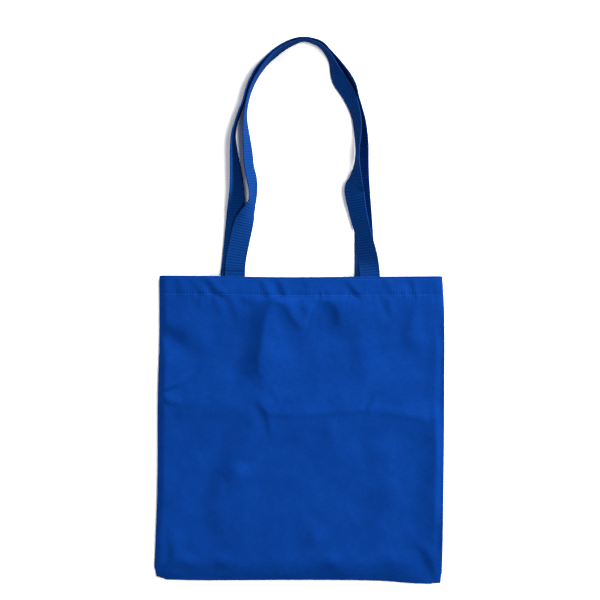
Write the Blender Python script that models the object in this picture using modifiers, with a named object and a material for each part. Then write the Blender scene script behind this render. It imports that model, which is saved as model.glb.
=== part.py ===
# A flat-lying cotton tote bag: two hemmed cloth panels, two webbing handles and the rows of hem
# stitching. Metres, +Z up. The bag lies on its back panel on the plane z = 0 with its mouth
# towards +Y, and the origin is the middle of the back panel's underside.

import bmesh
import bpy
from math import cos, exp, hypot, pi, radians, sin
from mathutils import Vector

# Bag body, as sewn and laid flat
BAG_WIDTH = 0.3556
BAG_HEIGHT = 0.3810
CLOTH = 0.0006
LAYER_GAP = 0.0003
SEAM_ALLOWANCE = 0.0100
TRIM_CLEARANCE = 0.0020
HEM_DEPTH = 0.0254
HEM_TUCK = 0.0080
HEM_ROW = 0.0230
EDGE_ROW = 0.0035

# How far the closed bag stands up from the floor
BODY_LEVEL = 0.0084
LEFT_SEAM_LEVEL = 0.0037
RIGHT_SEAM_LEVEL = 0.0070
SIDE_REACH = 0.0095
LEFT_DROP = 0.0040
RIGHT_DROP = 0.0010
SIDE_BOW = 2.0
MOUTH_REACH = 0.060
FOOT_REACH = 0.026
FOOT_BOW = 1.5
BACK_REACH = 0.030
FOLD_HOLD = 0.012
CORNER_RISE = 0.060
MOUTH_RISE = 0.080
BACK_MOUTH_RISE = 0.040

# The body's outline: how far each edge lies outside the plain rectangle, against the share of
# the half height (left, right) or of the half width (top, bottom), from -1 to 1
LEFT_BULGE = ((-1.0, 0.0068), (-0.75, 0.0043), (-0.35, 0.0018), (0.2, 0.0013), (0.6, -0.0007), (1.0, -0.0006))
RIGHT_BULGE = ((-1.0, -0.0021), (-0.7, -0.0014), (-0.2, -0.0002), (0.2, 0.0004), (0.75, 0.0005), (1.0, -0.002))
TOP_BULGE = ((-1.0, 0.0005), (-0.7, 0.0002), (-0.15, -0.0015), (0.35, -0.0011), (1.0, -0.0003))
BOTTOM_BULGE = ((-1.0, -0.002), (-0.7, -0.0005), (0.0, -0.0009), (0.55, 0.0), (0.8, 0.0032), (1.0, 0.0042))
LEFT_PULL = 0.0030
RIGHT_PULL = 0.0008
CORNER_REACH = 0.016

# Handles: cotton webbing
STRAP_WIDTH = 0.0254
STRAP_THICKNESS = 0.0015
STRAP_TUCK = 0.0240
STRAP_SEAT = 0.0005
MOUTH_GAP = 0.0022
STRAP_STEP = 0.010
LEAST_SPAN_SHARE = 0.25

# Stitching
THREAD = 0.0004
THREAD_SEAT = 0.0003
FLOOR_CLEARANCE = 0.0002

# How finely the cloth is divided between its hems and seam allowances
FRONT_COLUMNS = 22
BACK_COLUMNS = 10
BODY_ROWS = 17
SEAM_TURN_STEPS = 3
HEM_TURN_STEPS = 4

# Folds in the front panel: a path of (x, y) points, its height (below zero for a valley) and spread
FOLDS = (
    (((-0.035, 0.160), (-0.044, 0.121), (-0.047, 0.084), (-0.043, 0.066)), 0.0040, 0.012),
    (((-0.029, 0.163), (-0.016, 0.153), (-0.0085, 0.139), (0.001, 0.130)), 0.0018, 0.009),
    (((0.029, 0.164), (0.042, 0.156), (0.048, 0.141), (0.047, 0.126)), 0.0022, 0.010),
    (((-0.165, 0.134), (-0.146, 0.123), (-0.127, 0.107), (-0.107, 0.099)), 0.0010, 0.010),
    (((-0.171, 0.118), (-0.156, 0.107), (-0.139, 0.091)), -0.0010, 0.009),
    (((-0.172, 0.033), (-0.060, 0.033), (-0.037, 0.018), (0.074, 0.022), (0.160, 0.006)), 0.0030, 0.018),
    (((-0.060, 0.030), (-0.051, 0.012), (-0.045, -0.010)), -0.0008, 0.007),
    (((0.166, 0.012), (0.168, -0.060), (0.167, -0.100), (0.168, -0.128)), 0.0030, 0.009),
    (((0.167, 0.120), (0.167, 0.080), (0.164, 0.055)), 0.0012, 0.009),
    (((0.146, -0.150), (0.161, -0.179)), -0.0009, 0.008),
    (((-0.166, -0.168), (-0.156, -0.150)), -0.0009, 0.008),
    (((-0.081, -0.017), (-0.103, -0.055), (-0.113, -0.100)), -0.0010, 0.012),
    (((0.078, 0.115), (0.078, 0.075)), 0.0015, 0.015),
    (((-0.175, 0.090), (-0.173, 0.076)), 0.0016, 0.020),
    (((0.101, -0.023), (0.113, -0.072), (0.112, -0.100)), 0.0013, 0.018),
    (((-0.081, -0.056), (-0.078, -0.052)), 0.0010, 0.012),
    (((0.014, -0.132), (0.020, -0.130)), 0.0010, 0.012),
)

# Each handle's route outside the bag: x, distance above the mouth, clearance of the lower edge
# over the floor, and roll in degrees. The strap's outer edge is the raised one.
FRONT_ROUTE = (
    (-0.0816, 0.0200, 0.0065, 2),
    (-0.0779, 0.0395, 0.0058, 4),
    (-0.0737, 0.0585, 0.0052, 12),
    (-0.0706, 0.0697, 0.0042, 28),
    (-0.0673, 0.0780, 0.0030, 48),
    (-0.0630, 0.0872, 0.0020, 65),
    (-0.0606, 0.0950, 0.0010, 72),
    (-0.0601, 0.1075, 0.0005, 68),
    (-0.0620, 0.1222, 0.0003, 61),
    (-0.0650, 0.1371, 0.0003, 64),
    (-0.0663, 0.1530, 0.0003, 66),
    (-0.0680, 0.1700, 0.0003, 71),
    (-0.0697, 0.1890, 0.0003, 79),
    (-0.0694, 0.2040, 0.0003, 85),
    (-0.0669, 0.2192, 0.0003, 86),
    (-0.0624, 0.2342, 0.0003, 86),
    (-0.0550, 0.2491, 0.0003, 86),
    (-0.0447, 0.2642, 0.0003, 85),
    (-0.0335, 0.2755, 0.0003, 82),
    (-0.0190, 0.2858, 0.0003, 85),
    (-0.0016, 0.2930, 0.0004, 92),
    (0.0060, 0.2938, 0.0005, 94),
    (0.0135, 0.2917, 0.0004, 92),
    (0.0231, 0.2872, 0.0005, 89),
    (0.0320, 0.2779, 0.0008, 83),
    (0.0384, 0.2666, 0.0012, 76),
    (0.0425, 0.2556, 0.0016, 62),
    (0.0478, 0.2440, 0.0020, 49),
    (0.0540, 0.2343, 0.0020, 50),
    (0.0597, 0.2245, 0.0022, 54),
    (0.0650, 0.2118, 0.0030, 61),
    (0.0686, 0.1985, 0.0040, 67),
    (0.0702, 0.1845, 0.0060, 71),
    (0.0703, 0.1690, 0.0080, 78),
    (0.0696, 0.1540, 0.0100, 84),
    (0.0688, 0.1390, 0.0115, 78),
    (0.0680, 0.1262, 0.0125, 62),
    (0.0671, 0.1160, 0.0130, 44),
    (0.0661, 0.1058, 0.0130, 15),
    (0.0673, 0.0955, 0.0116, 22),
    (0.0693, 0.0848, 0.0095, 30),
    (0.0731, 0.0680, 0.0072, 36),
    (0.0777, 0.0505, 0.0060, 38),
    (0.0814, 0.0330, 0.0058, 26),
    (0.0838, 0.0185, 0.0065, 10),
)
BACK_ROUTE = (
    (-0.0861, 0.0235, 0.0026, 3),
    (-0.0839, 0.0450, 0.0015, 8),
    (-0.0820, 0.0664, 0.0008, 16),
    (-0.0811, 0.0850, 0.0005, 30),
    (-0.0803, 0.0998, 0.0004, 40),
    (-0.0805, 0.1154, 0.0003, 50),
    (-0.0821, 0.1362, 0.0003, 61),
    (-0.0841, 0.1582, 0.0003, 73),
    (-0.0845, 0.1750, 0.0003, 81),
    (-0.0814, 0.1900, 0.0003, 86),
    (-0.0765, 0.2048, 0.0003, 87),
    (-0.0723, 0.2156, 0.0003, 88),
    (-0.0674, 0.2332, 0.0003, 88),
    (-0.0609, 0.2483, 0.0003, 88),
    (-0.0527, 0.2611, 0.0003, 88),
    (-0.0433, 0.2716, 0.0003, 88),
    (-0.0338, 0.2804, 0.0003, 89),
    (-0.0220, 0.2883, 0.0003, 90),
    (-0.0108, 0.2936, 0.0003, 92),
    (0.0007, 0.2962, 0.0004, 94),
    (0.0130, 0.2951, 0.0004, 94),
    (0.0260, 0.2892, 0.0003, 88),
    (0.0344, 0.2796, 0.0003, 84),
    (0.0422, 0.2700, 0.0003, 80),
    (0.0507, 0.2588, 0.0003, 76),
    (0.0594, 0.2469, 0.0003, 76),
    (0.0652, 0.2354, 0.0003, 76),
    (0.0684, 0.2230, 0.0003, 78),
    (0.0728, 0.2085, 0.0003, 79),
    (0.0762, 0.1936, 0.0003, 76),
    (0.0777, 0.1763, 0.0003, 70),
    (0.0778, 0.1600, 0.0003, 64),
    (0.0768, 0.1420, 0.0003, 58),
    (0.0764, 0.1222, 0.0003, 52),
    (0.0768, 0.1000, 0.0003, 45),
    (0.0773, 0.0800, 0.0004, 36),
    (0.0780, 0.0551, 0.0009, 25),
    (0.0788, 0.0370, 0.0015, 15),
    (0.0794, 0.0200, 0.0026, 6),
)
FRONT_FEET = (-0.0828, 0.0857)
BACK_FEET = (-0.0882, 0.0797)

# Worked out from the sizes above
PLY = CLOTH + LAYER_GAP
SEAM_RADIUS = PLY / 2
HEM_DROP = 2 * PLY
HEM_RADIUS = HEM_DROP / 2
SEAM_HALF = PLY + LAYER_GAP / 2 + CLOTH / 2
FOOT_SEAM_LEVEL = CLOTH / 2 + SEAM_HALF
BACK_HEM_LEVEL = FLOOR_CLEARANCE + THREAD + THREAD_SEAT + CLOTH / 2
STRAP_DROP = HEM_DROP + CLOTH / 2 + STRAP_SEAT + STRAP_THICKNESS / 2
BACK_STRAP_LEVEL = BACK_HEM_LEVEL + STRAP_DROP
FRONT_STRAP_LEVEL = BACK_STRAP_LEVEL + STRAP_THICKNESS + MOUTH_GAP
FRONT_HEM_LEVEL = FRONT_STRAP_LEVEL + STRAP_DROP
TRIM = SEAM_ALLOWANCE + TRIM_CLEARANCE
ALLOWANCE_INSETS = (SEAM_ALLOWANCE, SEAM_ALLOWANCE / 2)
FACE_INSETS = (SEAM_ALLOWANCE / 2, SEAM_ALLOWANCE, TRIM)
FRONT = 1
BACK = -1

CLOTH_COLOUR = (0.0040, 0.0550, 0.3200, 1.0)
STRAP_COLOUR = (0.0050, 0.0500, 0.2500, 1.0)
THREAD_COLOUR = (0.0060, 0.0700, 0.3600, 1.0)
FABRIC_ROUGHNESS = 0.9


def clear_scene():
    for old in list(bpy.data.objects):
        bpy.data.objects.remove(old)


def smooth(share):
    share = min(max(share, 0.0), 1.0)
    return share * share * (3 - 2 * share)


def blend(first, second, share):
    return first + (second - first) * share


def curve_value(points, at):
    # A smooth curve through a few chosen (position, value) pairs
    slopes = []
    for index in range(len(points)):
        before = points[max(index - 1, 0)]
        after = points[min(index + 1, len(points) - 1)]
        slopes.append((after[1] - before[1]) / (after[0] - before[0]))
    at = min(max(at, points[0][0]), points[-1][0])
    index = 0
    while index < len(points) - 2 and at > points[index + 1][0]:
        index += 1
    start, end = points[index], points[index + 1]
    span = end[0] - start[0]
    t = (at - start[0]) / span
    rise = start[1] * (2 * t ** 3 - 3 * t ** 2 + 1) + end[1] * (3 * t ** 2 - 2 * t ** 3)
    return rise + span * (slopes[index] * (t ** 3 - 2 * t ** 2 + t) + slopes[index + 1] * (t ** 3 - t ** 2))


def outline_point(u, v):
    # Cloth position (u across, v up, from the middle of the body) to its place on the floor plan
    a = 2 * u / BAG_WIDTH
    b = 2 * v / BAG_HEIGHT
    left = -BAG_WIDTH / 2 - curve_value(LEFT_BULGE, b)
    right = BAG_WIDTH / 2 + curve_value(RIGHT_BULGE, b)
    bottom = -BAG_HEIGHT / 2 - curve_value(BOTTOM_BULGE, a)
    top = BAG_HEIGHT / 2 + curve_value(TOP_BULGE, a)
    x = blend(left, right, (a + 1) / 2)
    y = blend(bottom, top, (b + 1) / 2)
    near_side = max(0.0, 1 - (BAG_WIDTH / 2 - abs(u)) / CORNER_REACH)
    near_foot = max(0.0, 1 - (v + BAG_HEIGHT / 2) / CORNER_REACH)
    if u < 0:
        pull = LEFT_PULL * near_side * near_foot
        return x + pull, y + pull
    pull = RIGHT_PULL * near_side * near_foot
    return x - pull, y + pull


def distance_to_path(x, y, path):
    nearest = None
    for start, end in zip(path, path[1:]):
        run_x = end[0] - start[0]
        run_y = end[1] - start[1]
        share = ((x - start[0]) * run_x + (y - start[1]) * run_y) / (run_x ** 2 + run_y ** 2)
        share = min(max(share, 0.0), 1.0)
        gap = hypot(x - start[0] - share * run_x, y - start[1] - share * run_y)
        nearest = gap if nearest is None else min(nearest, gap)
    return nearest


def fold_relief(x, y):
    return sum(height * exp(-(distance_to_path(x, y, path) / spread) ** 2) for path, height, spread in FOLDS)


def edge_distances(u, v):
    return BAG_WIDTH / 2 - abs(u), v + BAG_HEIGHT / 2, BAG_HEIGHT / 2 - v


def seam_level(u, foot):
    side_level = LEFT_SEAM_LEVEL if u < 0 else RIGHT_SEAM_LEVEL
    return blend(FOOT_SEAM_LEVEL, side_level, smooth(foot / CORNER_RISE))


def bowed(share, bow):
    # Rises from 0 to 1, steeply at first and level at its end
    return 1 - (1 - min(max(share, 0.0), 1.0)) ** bow


def front_level(u, v):
    # Height of the middle of the front panel's outer layer: flat, and curved down to the seams
    side, foot, head = edge_distances(u, v)
    mouth = smooth((MOUTH_RISE - head) / (MOUTH_RISE - HEM_DEPTH))
    low = seam_level(u, foot) + SEAM_HALF
    rise = blend(BODY_LEVEL, FRONT_HEM_LEVEL, mouth) - low
    drop = min(rise, LEFT_DROP if u < 0 else RIGHT_DROP)
    across = drop * bowed(side / SIDE_REACH, SIDE_BOW) + (rise - drop) * smooth(side / MOUTH_REACH)
    hold = smooth(side / FOLD_HOLD) * smooth(foot / FOLD_HOLD) * (1 - mouth)
    return low + across * bowed(foot / FOOT_REACH, FOOT_BOW) + fold_relief(u, v) * hold


def back_level(u, v):
    # Height of the middle of the back panel's outer layer, flat on the floor away from the sides
    side, foot, head = edge_distances(u, v)
    mouth = smooth((BACK_MOUTH_RISE - head) / (BACK_MOUTH_RISE - HEM_DEPTH))
    middle = blend(CLOTH / 2, BACK_HEM_LEVEL, mouth)
    return blend(seam_level(u, foot) - SEAM_HALF, middle, smooth(side / BACK_REACH))


def turn(radius, steps):
    # Steps of a half turn of cloth: (shift outwards, depth below the layer it starts on)
    arc = [pi * step / steps for step in range(1, steps + 1)]
    return [(radius * sin(angle) - radius, radius * (1 - cos(angle))) for angle in arc]


def seam_lines(half):
    # Lines from a seam allowance's raw edge, round the seam's turn and onto the face
    turned = turn(SEAM_RADIUS, SEAM_TURN_STEPS)
    lines = [(half - inset, 0.0, 2 * SEAM_RADIUS) for inset in ALLOWANCE_INSETS]
    lines += [(half, shift, depth) for shift, depth in reversed(turned)]
    lines.append((half, -SEAM_RADIUS, 0.0))
    lines += [(half - inset, 0.0, 0.0) for inset in FACE_INSETS]
    return lines


def even_lines(low, high, cells):
    return [(blend(low, high, cell / cells), 0.0, 0.0) for cell in range(1, cells)]


def hem_lines(half):
    # Lines up the hem's outer layer, over the top edge, down its inner layer and up the tuck
    insets = (HEM_DEPTH, HEM_ROW, (HEM_ROW + EDGE_ROW) / 2, EDGE_ROW)
    lines = [(half - inset, 0.0, 0.0) for inset in insets]
    lines.append((half, -HEM_RADIUS, 0.0))
    lines += [(half, shift, depth) for shift, depth in turn(HEM_RADIUS, HEM_TURN_STEPS)]
    lines += [(half - inset, 0.0, HEM_DROP) for inset in reversed(insets[1:])]
    foot = half - HEM_DEPTH
    lines.append((foot, SEAM_RADIUS, HEM_DROP))
    for shift, rise in turn(SEAM_RADIUS, SEAM_TURN_STEPS):
        lines.append((foot, -shift, HEM_DROP - rise))
    lines.append((foot + HEM_TUCK, 0.0, HEM_DROP - 2 * SEAM_RADIUS))
    return lines


def build_panel(name, face, columns, material):
    # One piece of cloth: a grid folded round its seams and hem, with its corners trimmed away
    half_width = BAG_WIDTH / 2
    half_height = BAG_HEIGHT / 2
    right = seam_lines(half_width)
    left = [(-u, shift, depth) for u, shift, depth in right]
    across = left + even_lines(TRIM - half_width, half_width - TRIM, columns) + right[::-1]
    foot = [(-v, shift, depth) for v, shift, depth in seam_lines(half_height)]
    up = foot + even_lines(TRIM - half_height, half_height - HEM_DEPTH, BODY_ROWS) + hem_lines(half_height)
    level = front_level if face == FRONT else back_level

    cloth = bmesh.new()
    bmesh.ops.create_grid(cloth, x_segments=len(across) - 1, y_segments=len(up) - 1, size=1.0)
    cloth.verts.ensure_lookup_table()
    spots = {}
    for vertex in cloth.verts:
        column = round((vertex.co.x + 1) / 2 * (len(across) - 1))
        row = round((vertex.co.y + 1) / 2 * (len(up) - 1))
        spots[vertex] = (column, row)

    seam_cells = SEAM_TURN_STEPS + len(ALLOWANCE_INSETS)
    trim_cells = seam_cells + len(FACE_INSETS)
    body_top = up.index((half_height, -HEM_RADIUS, 0.0))
    spare = []
    for quad in cloth.faces:
        column = min(spots[vertex][0] for vertex in quad.verts)
        row = min(spots[vertex][1] for vertex in quad.verts)
        from_side = min(column, len(across) - 2 - column)
        in_seam = from_side < seam_cells and row < trim_cells
        in_foot = from_side < trim_cells and row < seam_cells
        in_hem = from_side < trim_cells and row >= body_top
        if in_seam or in_foot or in_hem:
            spare.append(quad)

    for vertex, (column, row) in spots.items():
        u, shift_u, depth_u = across[column]
        v, shift_v, depth_v = up[row]
        x, y = outline_point(u, v)
        x += shift_u if u > 0 else -shift_u
        y += shift_v if v > 0 else -shift_v
        depth = max(depth_u, depth_v)
        vertex.co = Vector((x, y, level(u, v) - face * depth))
    bmesh.ops.delete(cloth, geom=spare, context="FACES")
    if face == BACK:
        bmesh.ops.reverse_faces(cloth, faces=cloth.faces)
    return finish_cloth(name, cloth, CLOTH, material)


def finish_cloth(name, cloth, thickness, material):
    mesh = bpy.data.meshes.new(name)
    cloth.to_mesh(mesh)
    cloth.free()
    mesh.materials.append(material)
    piece = bpy.data.objects.new(name, mesh)
    bag.objects.link(piece)
    solid = piece.modifiers.new("Thickness", "SOLIDIFY")
    solid.thickness = thickness
    solid.offset = 0.0
    solid.use_even_offset = True
    return piece


def strap_route(feet, level, route):
    # The route with its two ends, which run flat into the mouth
    mouth = BAG_HEIGHT / 2
    stations = []
    for x, above, clearance, roll in route:
        lean = radians(roll)
        height = clearance + STRAP_THICKNESS / 2 * cos(lean) + STRAP_WIDTH / 2 * sin(lean)
        stations.append((x, mouth + above, height, lean))
    start = [(feet[0], mouth - STRAP_TUCK, level, 0.0), (feet[0], mouth + STRAP_THICKNESS, level, 0.0)]
    end = [(feet[1], mouth + STRAP_THICKNESS, level, 0.0), (feet[1], mouth - STRAP_TUCK, level, 0.0)]
    return [Vector(station) for station in start + stations + end]


def smooth_route(stations):
    # Points about STRAP_STEP apart on a smooth curve through the stations
    points = []
    last = len(stations) - 1
    for index in range(last):
        p0 = stations[max(index - 1, 0)]
        p1 = stations[index]
        p2 = stations[index + 1]
        p3 = stations[min(index + 2, last)]
        span = (p2 - p1).xyz.length
        before = max((p1 - p0).xyz.length, span * LEAST_SPAN_SHARE)
        after = max((p3 - p2).xyz.length, span * LEAST_SPAN_SHARE)
        slope_1 = (p2 - p0) / (before + span) if index > 0 else (p2 - p1) / span
        slope_2 = (p3 - p1) / (span + after) if index < last - 1 else (p2 - p1) / span
        steps = max(1, round(span / STRAP_STEP))
        for step in range(steps):
            t = step / steps
            place = p1 * (2 * t ** 3 - 3 * t ** 2 + 1) + p2 * (3 * t ** 2 - 2 * t ** 3)
            bend = slope_1 * (t ** 3 - 2 * t ** 2 + t) + slope_2 * (t ** 3 - t ** 2)
            points.append(place + bend * span)
    points.append(stations[last])
    return points


def build_strap(name, feet, level, route, material):
    # A ribbon lofted along its route, with its outer edge turned up by the roll
    points = smooth_route(strap_route(feet, level, route))
    ribbon = bmesh.new()
    bmesh.ops.create_grid(ribbon, x_segments=2, y_segments=len(points) - 1, size=1.0)
    for vertex in ribbon.verts:
        index = round((vertex.co.y + 1) / 2 * (len(points) - 1))
        x, y, z, lean = points[index]
        ahead = points[min(index + 1, len(points) - 1)]
        behind = points[max(index - 1, 0)]
        run = Vector((ahead.x - behind.x, ahead.y - behind.y, 0)).normalized()
        outward = Vector((-run.y, run.x, 0))
        across = outward * cos(lean) + Vector((0, 0, 1)) * sin(lean)
        vertex.co = Vector((x, y, z)) + across * vertex.co.x * STRAP_WIDTH / 2
    return finish_cloth(name, ribbon, STRAP_THICKNESS, material)


def build_thread(name, face, inset, columns, material):
    # A row of stitching, as one thread lying along the hem's outer layer
    level = front_level if face == FRONT else back_level
    v = BAG_HEIGHT / 2 - inset
    stand_off = CLOTH / 2 + THREAD_SEAT + THREAD / 2
    half = BAG_WIDTH / 2 - TRIM
    lines = [-half] + [line[0] for line in even_lines(-half, half, columns)] + [half]
    row = bpy.data.curves.new(name, "CURVE")
    row.dimensions = "3D"
    row.bevel_depth = THREAD / 2
    row.bevel_resolution = 1
    row.use_fill_caps = True
    path = row.splines.new("POLY")
    path.points.add(len(lines) - 1)
    for point, u in zip(path.points, lines):
        x, y = outline_point(u, v)
        point.co = (x, y, level(u, v) + face * stand_off, 1.0)
    row.materials.append(material)
    piece = bpy.data.objects.new(name, row)
    bag.objects.link(piece)
    return piece


def fabric(name, colour):
    material = bpy.data.materials.new(name)
    material.use_nodes = True
    shader = material.node_tree.nodes["Principled BSDF"]
    shader.inputs["Base Color"].default_value = colour
    shader.inputs["Roughness"].default_value = FABRIC_ROUGHNESS
    shader.inputs["Metallic"].default_value = 0.0
    return material


clear_scene()
bag = bpy.data.collections.new("cotton_tote_bag")
bpy.context.scene.collection.children.link(bag)

cloth_blue = fabric("blue_cotton_cloth", CLOTH_COLOUR)
strap_blue = fabric("blue_cotton_webbing", STRAP_COLOUR)
thread_blue = fabric("blue_thread", THREAD_COLOUR)

build_panel("front_panel", FRONT, FRONT_COLUMNS, cloth_blue)
build_panel("back_panel", BACK, BACK_COLUMNS, cloth_blue)
build_strap("front_handle", FRONT_FEET, FRONT_STRAP_LEVEL, FRONT_ROUTE, strap_blue)
build_strap("back_handle", BACK_FEET, BACK_STRAP_LEVEL, BACK_ROUTE, strap_blue)
build_thread("front_hem_thread", FRONT, HEM_ROW, FRONT_COLUMNS, thread_blue)
build_thread("front_edge_thread", FRONT, EDGE_ROW, FRONT_COLUMNS, thread_blue)
build_thread("back_hem_thread", BACK, HEM_ROW, BACK_COLUMNS, thread_blue)
build_thread("back_edge_thread", BACK, EDGE_ROW, BACK_COLUMNS, thread_blue)
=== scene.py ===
from math import pi, radians

import bpy
import numpy as np
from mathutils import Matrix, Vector


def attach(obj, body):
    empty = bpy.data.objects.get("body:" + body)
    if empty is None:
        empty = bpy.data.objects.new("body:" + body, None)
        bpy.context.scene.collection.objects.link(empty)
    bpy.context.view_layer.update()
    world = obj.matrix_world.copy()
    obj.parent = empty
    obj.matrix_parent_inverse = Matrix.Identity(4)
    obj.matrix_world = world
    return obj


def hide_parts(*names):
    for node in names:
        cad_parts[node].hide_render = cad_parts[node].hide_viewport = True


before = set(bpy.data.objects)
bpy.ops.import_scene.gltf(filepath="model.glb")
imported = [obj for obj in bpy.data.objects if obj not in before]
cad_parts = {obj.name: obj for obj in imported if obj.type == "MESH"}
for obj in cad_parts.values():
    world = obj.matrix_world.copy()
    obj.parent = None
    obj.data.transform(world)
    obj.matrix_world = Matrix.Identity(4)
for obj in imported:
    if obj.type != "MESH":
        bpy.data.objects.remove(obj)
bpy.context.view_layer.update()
print("frame loaded:", ", ".join(sorted(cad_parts)))


# Sizes in metres. The part's source holds the main ones too, with its right seam 2.4 mm lower.

bagBody = {
    "width": 0.3556,
    "height": 0.3810,
    "cloth": 0.0006,
    "layerGap": 0.0003,
    "seamAllowance": 0.0100,
    "hemDepth": 0.0254,
    "hemTuck": 0.0080,
    "hemRow": 0.0230,
    "edgeRow": 0.0035,
    "topInset": 0.0012,
    "bodyLevel": 0.0084,
    "leftSeamLevel": 0.0037,
    "rightSeamLevel": 0.0094,
    "cornerRise": 0.060,
    "trim": 0.0120,
}
ply = bagBody["cloth"] + bagBody["layerGap"]
seamRadius = ply / 2
hemDrop = 2 * ply
seamHalf = ply + bagBody["layerGap"] / 2 + bagBody["cloth"] / 2
footSeamLevel = bagBody["cloth"] / 2 + seamHalf
backHemLevel = 0.0012

webbing = {
    "width": 0.0254,
    "thickness": 0.0015,
    "tuck": 0.0240,
    "seat": 0.0005,
    "mouthGap": 0.0022,
    "ribPitch": 0.0034,
    "ribDepth": 0.00040,
    "ribEdge": 0.0006,
    "wander": 0.15,
    "wanderCell": 0.011,
    "wanderSeed": 21,
    "selvedge": 0.0016,
    "selvedgeRise": 0.00012,
    "faceShare": 0.99,
    "station": 0.0007,
    "across": 30,
    "roundSteps": 6,
}
strapDrop = hemDrop + bagBody["cloth"] / 2 + webbing["seat"] + webbing["thickness"] / 2
backStrapLevel = backHemLevel + strapDrop
frontStrapLevel = backStrapLevel + webbing["thickness"] + webbing["mouthGap"]
frontHemLevel = frontStrapLevel + strapDrop


# Plain number helpers

noiseLattice = {
    "size": 96,
    "offset": 40.5,
}


def smooth(share):
    # Rises from 0 to 1 with level ends: 3t^2 - 2t^3
    share = np.clip(share, 0, 1)
    return share * share * (3 - 2 * share)


def fade(distance, start, width):
    # 0 up to the start, and 1 from a width beyond it
    return smooth((distance - start) / width)


def blend(first, second, share):
    return first + (second - first) * share


def curveValue(points, at):
    # Cubic through chosen (position, value) pairs, with each slope taken from its neighbours
    spots = np.array(points, float)
    before = np.vstack([spots[:1], spots[:-1]])
    after = np.vstack([spots[1:], spots[-1:]])
    slopes = (after[:, 1] - before[:, 1]) / (after[:, 0] - before[:, 0])
    at = np.clip(at, spots[0, 0], spots[-1, 0])
    index = np.clip(np.searchsorted(spots[:, 0], at) - 1, 0, len(spots) - 2)
    span = spots[index + 1, 0] - spots[index, 0]
    t = (at - spots[index, 0]) / span
    rise = spots[index, 1] * (2 * t**3 - 3 * t**2 + 1) + spots[index + 1, 1] * (3 * t**2 - 2 * t**3)
    return rise + span * (slopes[index] * (t**3 - 2 * t**2 + t) + slopes[index + 1] * (t**3 - t**2))


def smoothPath(stations, step):
    # Cubic through stations of any number of columns, sampled about a step apart
    spots = np.array(stations, float)
    gaps = np.linalg.norm(np.diff(spots[:, :3], axis=0), axis=1)
    along = np.concatenate([[0], np.cumsum(gaps)])
    wanted = np.linspace(0, along[-1], max(3, int(round(along[-1] / step)) + 1))
    columns = [curveValue(np.column_stack([along, spots[:, c]]), wanted) for c in range(spots.shape[1])]
    return np.column_stack(columns)


def softNoise(x, y, cell, seed):
    # Smooth value noise from -1 to 1: random lattice values blended with a level-ended cubic
    size = noiseLattice["size"]
    lattice = np.random.default_rng(seed).uniform(-1, 1, (size, size))
    gx = np.asarray(x) / cell + noiseLattice["offset"]
    gy = np.asarray(y) / cell + noiseLattice["offset"]
    ix = np.floor(gx).astype(int)
    iy = np.floor(gy).astype(int)
    fx = smooth(gx - ix)
    fy = smooth(gy - iy)
    ix = ix % (size - 1)
    iy = iy % (size - 1)
    low = blend(lattice[ix, iy], lattice[ix + 1, iy], fx)
    high = blend(lattice[ix, iy + 1], lattice[ix + 1, iy + 1], fx)
    return blend(low, high, fy)


# Cloth panels

outline = {
    "left": ((-1.0, 0.0068), (-0.75, 0.0043), (-0.35, 0.0018), (0.2, 0.0013), (0.6, -0.0007), (1.0, -0.0006)),
    "right": ((-1.0, -0.0021), (-0.7, -0.0014), (-0.2, -0.0002), (0.2, 0.0004), (0.75, 0.0005),
              (1.0, -0.0020)),
    "top": ((-1.0, 0.0005), (-0.7, 0.0002), (-0.15, -0.0015), (0.35, -0.0011), (1.0, -0.0003)),
    "bottom": ((-1.0, -0.0020), (-0.7, -0.0005), (0.0, -0.0009), (0.55, 0.0000), (0.8, 0.0032),
               (1.0, 0.0042)),
    "leftPull": 0.0030,
    "rightPull": 0.0008,
    "pullReach": 0.016,
}

# Where the front panel curves down to its seams, and how high it stands there
frontEdges = {
    "sideReach": 0.0095,
    "leftDrop": 0.0040,
    "rightDrop": 0.0010,
    "sideBow": 2.0,
    "mouthReach": 0.060,
    "footReach": 0.025,
    "footBow": 1.5,
    "mouthRise": 0.080,
}
backEdges = {
    "mouthRise": 0.040,
    "sideReach": 0.030,
}

# Where the relief starts from each edge, and the width over which it grows. The body loses a share of
# the band's creases, and the mouth a share of the waves.
reliefFade = {
    "body": (0.0215, 0.010),
    "bandShare": 0.7,
    "sideStart": -0.003,
    "leftWidth": 0.012,
    "rightWidth": 0.014,
    "foot": (-0.001, 0.010),
    "head": (0.001, 0.006),
    "mouthWaves": 0.6,
    "stitches": 0.006,
}

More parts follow.
